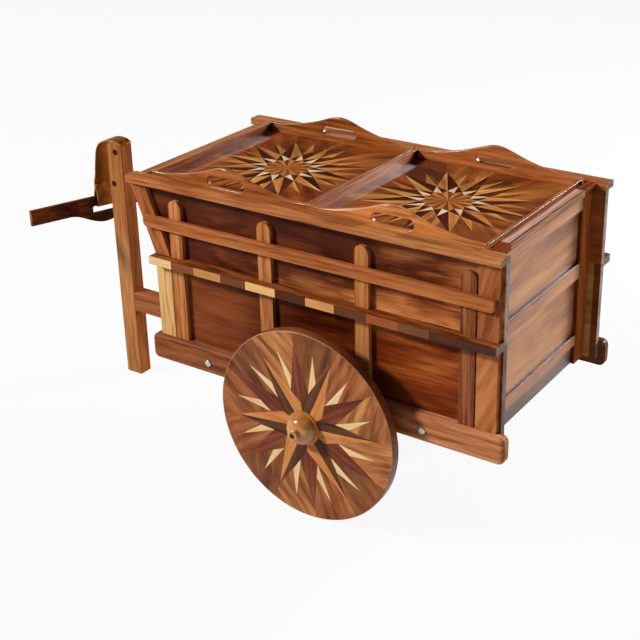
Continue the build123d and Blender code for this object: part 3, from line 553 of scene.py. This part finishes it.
def lay_inlay(name, pieces, tree, repeats, turn, seed, place, body):
    """Sets a marquetry star into the face that place stands on."""
    star = new_object(name, inlay_mesh(name, pieces))
    modifier = star.modifiers.new("Star", "NODES")
    modifier.node_group = tree
    sockets = {s.name: s.identifier for s in tree.interface.items_tree if s.in_out == "INPUT"}
    modifier[sockets["Repeats"]] = repeats
    modifier[sockets["Turn"]] = math.radians(turn)
    modifier[sockets["Seed"]] = seed
    keep_modified_mesh(star)
    star.data.transform(place)
    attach(star, body)


def veneer(name, tones, **detail):
    """Thin wood under lacquer, which gives the eye an even tone with fine grain along each piece."""
    settings = dict(streak=(90, 12), ring=14, wander=12, shine=0.06, pores=0.02, fibres=0.12, veneer=True)
    settings.update(detail)
    return lacquered_wood(name, tones, **settings)


# Wheel star: six two-coloured points, six plum points between them and twelve maple slivers.
# Its sizes are millimetres from the middle, and its angles degrees
GROUND_FIGURE = dict(streak=(110, 26), ring=30, wander=80, rings=0.16, fibres=0.2)
wheel_woods = [
    veneer("Reddish ground veneer", ("#6e3a21", "#9e5b37", "#bc7949"), **GROUND_FIGURE),
    veneer("Golden ground veneer", ("#7c4829", "#b47042", "#d29259"), **GROUND_FIGURE),
    veneer("Brown ground veneer", ("#563120", "#844e2f", "#a4673d"), **GROUND_FIGURE),
    veneer("Plum-red veneer", ("#54261b", "#733928", "#935336"), streak=(300, 90)),
    veneer("Maple veneer", ("#e3b47a", "#f1c98f", "#f8d9a8")),
    veneer("Dark walnut veneer", ("#3d2417", "#5c3a25", "#75492c"), streak=(160, 9), fibres=0.2),
    veneer("Orange cedar veneer", ("#c0733c", "#d2864a", "#dc965a")),
]
REDDISH, GOLDEN, BROWNISH, PLUM, MAPLE, WALNUT, CEDAR = range(7)
WHEEL_R, MAIN_TIP, PLUM_TIP, SLIVER_TIP = 206.7, 168, 182, 169
MAIN_WAIST, PLUM_FOOT, CROSS, SHOULDER = 55, 20, 83, 112
SLIVER_FOOT, SLIVER_LEAN = CROSS - 4, 7.6
WHEEL_TURN, RIM_STEP = 6.4, 1.5


def wheel_ground_set():
    """Twelve sectors of veneer that fill the wheel's face behind the star."""
    woods = (GOLDEN, REDDISH, BROWNISH, GOLDEN, BROWNISH, REDDISH,
             REDDISH, BROWNISH, GOLDEN, REDDISH, BROWNISH, GOLDEN)
    leans = (65, 30, 10, 40, 5, -20, 25, 50, 60, 20, -5, 30)
    pieces = []
    for i, (wood, lean) in enumerate(zip(woods, leans)):
        rim = [corner(WHEEL_R, SECTOR * i + RIM_STEP * j) for j in range(21)]
        pieces.append((wood, GROUND_LIFT, SECTOR * i + lean, [corner(0, 0), *rim]))
    return pieces


def wheel_star_set():
    """One sixth of the wheel's star."""
    plum = [corner(PLUM_FOOT, 30), corner(CROSS, 15), corner(PLUM_TIP, 30), corner(CROSS, 45)]
    pieces = [(PLUM, RAY_LIFT, 30, plum)]
    for angle in (15, 45):
        sliver = [corner(SLIVER_FOOT, angle), corner(SHOULDER, angle - SLIVER_LEAN), corner(SLIVER_TIP, angle)]
        pieces.append((MAPLE, UNDER_LIFT, angle, sliver))
    pieces.append((WALNUT, TOP_LIFT, 0, [corner(0, 0), corner(MAIN_TIP, 0), corner(MAIN_WAIST, 30)]))
    pieces.append((CEDAR, TOP_LIFT, 0, [corner(0, 0), corner(MAIN_WAIST, -30), corner(MAIN_TIP, 0)]))
    return pieces


wheel_tree = inlay_tree("Wheel star", wheel_woods)
wheel_low, wheel_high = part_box("left_wheel")
wheel_x, wheel_z = (wheel_low.x + wheel_high.x) / 2, (wheel_low.z + wheel_high.z) / 2
for side, facing in (("left", -1), ("right", 1)):
    low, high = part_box(f"{side}_wheel")
    face_y = low.y if facing < 0 else high.y
    place = Matrix(((-facing, 0, 0, wheel_x), (0, 0, facing, face_y), (0, 1, 0, wheel_z), (0, 0, 0, 1)))
    for layer, pieces, repeats in (("ground", wheel_ground_set(), 1), ("star", wheel_star_set(), 6)):
        lay_inlay(f"{side}_wheel_{layer}", pieces, wheel_tree, repeats, WHEEL_TURN, 3 + facing, place,
                  f"{side}_wheel_set")

# Tray star: a pinwheel, a ring of maple and dark kites, and two-coloured rays, in millimetres from the middle
TRAY_LACQUER = dict(rough=0.1, shine=0.5)
TRAY_FIGURE = dict(streak=(200, 44), ring=50, wander=80, **TRAY_LACQUER)
tray_woods = [
    veneer("Reddish tray ground", ("#562209", "#8b4016", "#b6642a"), **TRAY_FIGURE),
    veneer("Golden tray ground", ("#602c12", "#985125", "#c67f3e"), **TRAY_FIGURE),
    veneer("Dark tray ground", ("#481c08", "#6e3214", "#8c4a20"), **TRAY_FIGURE),
    veneer("Golden ray veneer", ("#a5602a", "#c5813c", "#eab466"), streak=(240, 40), **TRAY_LACQUER),
    veneer("Dark rosewood veneer", ("#300e07", "#4c1a0e", "#662a17"), **TRAY_LACQUER),
    veneer("Amber ray veneer", ("#9c5a24", "#c47c36", "#e6ac58"), streak=(240, 40), **TRAY_LACQUER),
    veneer("Maple kite veneer", ("#d8b086", "#ecc9a0", "#f6debd"), **TRAY_LACQUER),
    veneer("Tan pinwheel veneer", ("#a65e27", "#bc7236", "#cc8648"), **TRAY_LACQUER),
    veneer("Brown pinwheel veneer", ("#6c330f", "#864413", "#9b551b"), **TRAY_LACQUER),
    veneer("Brown ray veneer", ("#4a1f0c", "#74391a", "#985626"), streak=(240, 40), **TRAY_LACQUER),
]
T_REDDISH, T_GOLDEN, T_DARK, GOLD, ROSEWOOD, AMBER, T_MAPLE, TAN, BROWN, RUST = range(10)
PIN_TIP, PIN_WAIST, KITE_TIP, RAY_TIP, RAY_SHOULDER, HALF_RAY_TIP = 58, 46, 88, 177, 117, 168
HALF_RAY_FOOT = KITE_TIP - 3
GROUND_GAP = 0.3


def tray_ground_set(half_x, half_y, woods):
    """Twelve veneer sectors that fill the tray's floor out to its rim."""
    def rim(angle):
        ray = corner(1, angle)
        return ray * min(half_x / max(abs(ray.x), 1e-9), half_y / max(abs(ray.y), 1e-9))

    diagonal = math.degrees(math.atan2(half_y, half_x))
    bends = [diagonal, 180 - diagonal, 180 + diagonal, 360 - diagonal]
    pieces = []
    for start, wood in zip(range(0, 360, SECTOR), woods):
        angles = [start, *(a for a in bends if start < a < start + SECTOR), start + SECTOR]
        pieces.append((wood, GROUND_LIFT, start + SECTOR / 2, [corner(0, 0), *(rim(a) for a in angles)]))
    return pieces


def tray_star_set(hand):
    """One twelfth of a tray's star. hand is 1 where the light half of each ray lies anticlockwise, or -1."""
    def at(radius, angle):
        return corner(radius, hand * angle)

    pieces = [
        (GOLD, RAY_LIFT, 0, [at(PIN_TIP, 0), at(RAY_TIP, 0), at(KITE_TIP, 15)]),
        (ROSEWOOD, RAY_LIFT, 0, [at(PIN_TIP, 0), at(KITE_TIP, -15), at(RAY_TIP, 0)]),
        (AMBER, UNDER_LIFT, hand * 15, [at(HALF_RAY_FOOT, 15), at(HALF_RAY_TIP, 15), at(RAY_SHOULDER, 22.5)]),
        (RUST, UNDER_LIFT, hand * 15, [at(HALF_RAY_FOOT, 15), at(RAY_SHOULDER, 7.5), at(HALF_RAY_TIP, 15)]),
        (T_MAPLE, RAY_LIFT, hand * 15, [at(PIN_WAIST, 15), at(KITE_TIP, 15), at(PIN_TIP, 30)]),
        (ROSEWOOD, RAY_LIFT, hand * 15, [at(PIN_WAIST, 15), at(PIN_TIP, 0), at(KITE_TIP, 15)]),
        (TAN, RAY_LIFT, 0, [at(0, 0), at(PIN_TIP, 0), at(PIN_WAIST, 15)]),
        (BROWN, RAY_LIFT, 0, [at(0, 0), at(PIN_WAIST, -15), at(PIN_TIP, 0)]),
    ]
    if hand < 0:
        pieces = [(wood, lift, angle, corners[::-1]) for wood, lift, angle, corners in pieces]
    return pieces


FRONT_GROUND = (T_REDDISH, T_GOLDEN, T_REDDISH, T_DARK, T_REDDISH, T_REDDISH,
                T_GOLDEN, T_REDDISH, T_REDDISH, T_DARK, T_REDDISH, T_GOLDEN)
REAR_GROUND = (T_GOLDEN, T_GOLDEN, T_REDDISH, T_GOLDEN, T_DARK, T_REDDISH,
               T_GOLDEN, T_REDDISH, T_GOLDEN, T_GOLDEN, T_GOLDEN, T_GOLDEN)
tray_tree = inlay_tree("Tray star", tray_woods)
for end, hand, woods in (("front", -1, FRONT_GROUND), ("rear", 1, REAR_GROUND)):
    low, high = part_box(f"{end}_tray_base")
    place = Matrix.Translation(((low.x + high.x) / 2, (low.y + high.y) / 2, high.z))
    half_x, half_y = ((b - a) / 2 / MM - GROUND_GAP for a, b in zip(low.xy, high.xy))
    ground = tray_ground_set(half_x, half_y, woods)
    lay_inlay(f"{end}_tray_ground", ground, tray_tree, 1, 0, 11 + hand, place, f"{end}_tray")
    lay_inlay(f"{end}_tray_star", tray_star_set(hand), tray_tree, 12, 0, 7 + hand, place, f"{end}_tray")

# Leather strap: its section in millimetres, and the sides of the section that aren't cut edges
STRAP_SECTION = [(-19, -1.2), (-18, -2.2), (18, -2.2), (19, -1.2), (19, 1.2), (18, 2.2), (-18, 2.2), (-19, 1.2)]
BROAD_SIDES = (1, 5)
STRAP_STEPS = 5


def through(stations, steps):
    """Points on a smooth line through the stations."""
    ends = [stations[0], *stations, stations[-1]]
    line = []
    for span in zip(ends, ends[1:], ends[2:], ends[3:]):
        for i in range(steps):
            t = i / steps
            line.append([q + 0.5 * ((r - p) * t + (2 * p - 5 * q + 4 * r - s) * t ** 2
                                    + (3 * q - p - 3 * r + s) * t ** 3) for p, q, r, s in zip(*span)])
    return [*line, list(stations[-1])]


def leather_band(name, stations):
    """A strap through stations, each a point in millimetres, the strap's turn about the vertical in degrees, and
    how far its right edge spreads in millimetres."""
    line = through(stations, STRAP_STEPS)
    points, faces, cut = [], [], []
    around = len(STRAP_SECTION)
    for i, (x, y, z, turn, spread) in enumerate(line):
        before, after = line[max(i - 1, 0)], line[min(i + 1, len(line) - 1)]
        forward = (Vector(after[:3]) - Vector(before[:3])).normalized()
        across = Vector((math.sin(math.radians(turn)), math.cos(math.radians(turn)), 0))
        across = (across - forward * across.dot(forward)).normalized()
        outward = forward.cross(across)
        for a, b in STRAP_SECTION:
            aside = a + spread * (a > 0)
            points.append((Vector((x, y, z)) + across * aside + outward * b) * MM)
        if i:
            first = (i - 1) * around
            for j in range(around):
                k = (j + 1) % around
                faces.append((first + j, first + k, first + around + k, first + around + j))
                cut.append(int(j not in BROAD_SIDES))
    faces += [tuple(range(around))[::-1], tuple(range(len(points) - around, len(points)))]
    cut += [1, 1]
    mesh = bpy.data.meshes.new(name)
    mesh.from_pydata(points, [], faces)
    mesh.materials.append(strap_leather)
    mesh.materials.append(cut_leather)
    mesh.polygons.foreach_set("material_index", cut)
    mesh.shade_smooth()
    band = new_object(name, mesh)
    return band


# Rubbed patches, the pebbles of the grain and their depth, in millimetres, and where the tones lie in the patches
RUBBED_PATCH, PEBBLE, PEBBLE_DEPTH = 26, 2.5, 0.4
LEATHER_PLACES = (0.32, 0.5, 0.68)


def leather(name, tones, rough):
    """Oiled strap leather, which gives a soft brown with rubbed patches. Its grain is drawn three times too coarse,
    because the real one is too fine to show."""
    made, tree = material_with_nodes(name)
    place = add(tree, "ShaderNodeTexCoord").outputs["Object"]
    rubbed = add(tree, "ShaderNodeTexNoise", {"Vector": place, "Scale": 1 / (RUBBED_PATCH * MM), "Detail": 3})
    tone = add(tree, "ShaderNodeValToRGB", {"Fac": rubbed.outputs["Fac"]}, stops=zip(LEATHER_PLACES, tones))
    pebbles = add(tree, "ShaderNodeTexVoronoi", {"Vector": place, "Scale": 1 / (PEBBLE * MM)})
    grain = add(tree, "ShaderNodeBump", {"Height": pebbles.outputs["Distance"], "Strength": 0.15,
                                         "Distance": PEBBLE_DEPTH * MM})
    surface = add(tree, "ShaderNodeBsdfPrincipled", {
        "Base Color": tone.outputs["Color"], "Roughness": rough, "IOR": 1.5, "Specular IOR Level": 0.06,
        "Normal": grain.outputs["Normal"],
    })
    add(tree, "ShaderNodeOutputMaterial", {"Surface": surface.outputs["BSDF"]})
    return made


strap_leather = leather("Oiled brown leather", ("#744010", "#864a14", "#9a5a1c"), 0.5)
cut_leather = leather("Cut leather edge", ("#7a4620", "#a06a3a", "#b98452"), 0.7)

# The yoke's place and twist, and how far the hanging strap spreads over the gap beside the post
YOKE_X, YOKE_TWIST, STRAP_SPREAD = -572.725, 21, 4


def in_loop(across, height):
    """A station of the loop, so far across the yoke's bar and at that height."""
    turn = math.radians(YOKE_TWIST)
    return (YOKE_X + across * math.cos(turn), -across * math.sin(turn), height, YOKE_TWIST, STRAP_SPREAD)


strap_join = (-566.5, 0, 526, 20, STRAP_SPREAD)
strap_over_post = leather_band("strap_over_post", [
    (-483.4, 0, 600.4, 0, 0), (-492.3, 0, 605.3, 0, 0), (-501.6, 0, 607.5, 0, 0), (-511, 0, 608, 0, 0),
    (-522, 0, 607, 0, 0), (-537, 0, 602.6, 1, 1), (-549, 0, 596, 2, 2), (-556.5, 0, 586.5, 4, 3),
    (-560.5, 0, 575, 8, STRAP_SPREAD), (-564, 0, 552, 15, STRAP_SPREAD), strap_join,
])
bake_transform(strap_over_post)
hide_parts("strap_top", "strap_run")
strap_round_yoke = leather_band("strap_round_yoke", [
    strap_join, (-569.3, 0, 509, 21, STRAP_SPREAD), in_loop(0.3, 498), in_loop(-2.0, 489), in_loop(-2.4, 483),
    in_loop(-3.4, 474), in_loop(-8.2, 463), in_loop(-9.9, 452), in_loop(-9.6, 441), in_loop(-5.5, 434.6),
    in_loop(0, 433.2), in_loop(5.5, 434.6), in_loop(9.6, 441), in_loop(9.9, 452), in_loop(8.2, 463),
    in_loop(3.4, 474), in_loop(2.5, 482), in_loop(2.4, 488),
])
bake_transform(strap_round_yoke)
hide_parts("strap_loop")

# Floor and background: the floor is nearly white to the eye and grey to the lamps, and keeps the shadow
WHITE_SHARE, PAPER_GREY = 0.92, 0.65
FLOOR_HALF, FLOOR_GAP = 30, 0.0005
floor_material, tree = material_with_nodes("Pale studio floor")
rays = add(tree, "ShaderNodeLightPath")
seen = add(tree, "ShaderNodeMath", {0: rays.outputs["Is Camera Ray"], 1: rays.outputs["Is Glossy Ray"]},
           operation="MAXIMUM")
seen = add(tree, "ShaderNodeMath", {0: seen.outputs[0], 1: rays.outputs["Is Transmission Ray"]},
           operation="MAXIMUM")
white_share = add(tree, "ShaderNodeMath", {0: seen.outputs[0], 1: WHITE_SHARE}, operation="MULTIPLY")
paper = add(tree, "ShaderNodeBsdfDiffuse", {"Color": (PAPER_GREY, PAPER_GREY, PAPER_GREY, 1)})
glow = add(tree, "ShaderNodeEmission", {"Color": (1, 1, 1, 1), "Strength": 1.0})
mixed = add(tree, "ShaderNodeMixShader", {"Fac": white_share.outputs[0], 1: paper.outputs[0], 2: glow.outputs[0]})
add(tree, "ShaderNodeOutputMaterial", {"Surface": mixed.outputs[0]})
floor_mesh = bpy.data.meshes.new("studio_floor")
floor_corners = [(FLOOR_HALF * x, FLOOR_HALF * y, 0) for x, y in ((-1, -1), (1, -1), (1, 1), (-1, 1))]
floor_mesh.from_pydata(floor_corners, [], [(0, 1, 2, 3)])
floor_mesh.transform(Matrix.Translation((0, 0, cad_box[0].z - FLOOR_GAP)))
floor_mesh.materials.append(floor_material)
studio_floor = new_object("studio_floor", floor_mesh)

world = bpy.data.worlds.new("White studio")
bpy.context.scene.world = world
world.use_nodes = True
world.node_tree.nodes.clear()
tree = world.node_tree
# White walls and a darker ceiling, which the lacquer reflects; the camera sees plain white
WALL_TOP, CEILING_START, CEILING_LEVEL, ROOM_LIGHT = 0.06, 0.26, 0.03, 0.1
rays = add(tree, "ShaderNodeLightPath")
mirrored = add(tree, "ShaderNodeMath", {0: rays.outputs["Is Glossy Ray"], 1: rays.outputs["Is Transmission Ray"]},
               operation="MAXIMUM")
height = add(tree, "ShaderNodeSeparateXYZ", {"Vector": add(tree, "ShaderNodeTexCoord").outputs["Generated"]})
walls = add(tree, "ShaderNodeMapRange", {
    "Value": height.outputs["Z"], "From Min": WALL_TOP, "From Max": CEILING_START, "To Min": 1.0,
    "To Max": CEILING_LEVEL,
}, interpolation_type="SMOOTHSTEP")
shown = add(tree, "ShaderNodeMath", {0: mirrored.outputs[0], 1: walls.outputs["Result"]}, operation="MULTIPLY")
lit = add(tree, "ShaderNodeMapRange", {"Value": mirrored.outputs[0], "To Min": ROOM_LIGHT, "To Max": 0.0})
level = add(tree, "ShaderNodeMath", {0: shown.outputs[0], 1: lit.outputs["Result"]})
level = add(tree, "ShaderNodeMath", {0: level.outputs[0], 1: rays.outputs["Is Camera Ray"]}, operation="MAXIMUM")
sky = add(tree, "ShaderNodeBackground", {"Color": (1, 1, 1, 1), "Strength": level.outputs[0]})
add(tree, "ShaderNodeOutputWorld", {"Surface": sky.outputs[0]})


def soft_light(name, place, target, size, watts):
    """A round lamp that looks at a target."""
    lamp = bpy.data.lights.new(name, "AREA")
    lamp.shape = "DISK"
    lamp.size = size
    lamp.energy = watts
    made = new_object(name, lamp)
    made.location = place
    made.rotation_euler = (Vector(target) - Vector(place)).to_track_quat("-Z", "Y").to_euler()


# A strong lamp at the upper left, a window behind on the right, and a weak fill for the tailgate
soft_light("key_light", (-4.5, -4.3, 4.4), (0, 0, 0.4), 1.2, 565)
soft_light("window_light", (2.0, 3.25, 1.8), (0, 0, 0.6), 0.8, 180)
soft_light("fill_light", (3.9, 0.1, 2.0), (0, 0, 0.4), 2.4, 3)

# Camera at the photograph's place, with its focal length in pixels and its angles in radians. The photograph is
# cropped off its middle, and half of the shift that fits it best is enough for the framing
PHOTO_WIDTH, FOCAL_LENGTH, SENSOR = 640, 1270.57, 36
AZIMUTH, ELEVATION, ROLL = 0.580464, 0.407425, -0.012875
CAMERA_PLACE = (1.54275, -2.08071, 1.51058)
camera_data = bpy.data.cameras.new("camera")
camera_data.sensor_width = SENSOR
camera_data.lens = SENSOR * FOCAL_LENGTH / PHOTO_WIDTH
camera_data.shift_x = -0.0673
camera_data.shift_y = -0.0836
camera_data.clip_end = 100
right = Vector((math.cos(AZIMUTH), math.sin(AZIMUTH), 0))
ahead = Vector((-math.sin(AZIMUTH), math.cos(AZIMUTH), 0))
back = Vector((0, 0, 1)) * math.sin(ELEVATION) - ahead * math.cos(ELEVATION)
up = back.cross(right)
tipped = right * math.cos(ROLL) + up * math.sin(ROLL)
upright = up * math.cos(ROLL) - right * math.sin(ROLL)
aim = Matrix((tipped, upright, back)).transposed().to_4x4()
camera = new_object("camera", camera_data)
camera.matrix_world = Matrix.Translation(CAMERA_PLACE) @ aim
bpy.context.scene.camera = camera
bpy.context.scene.view_settings.view_transform = "Standard"
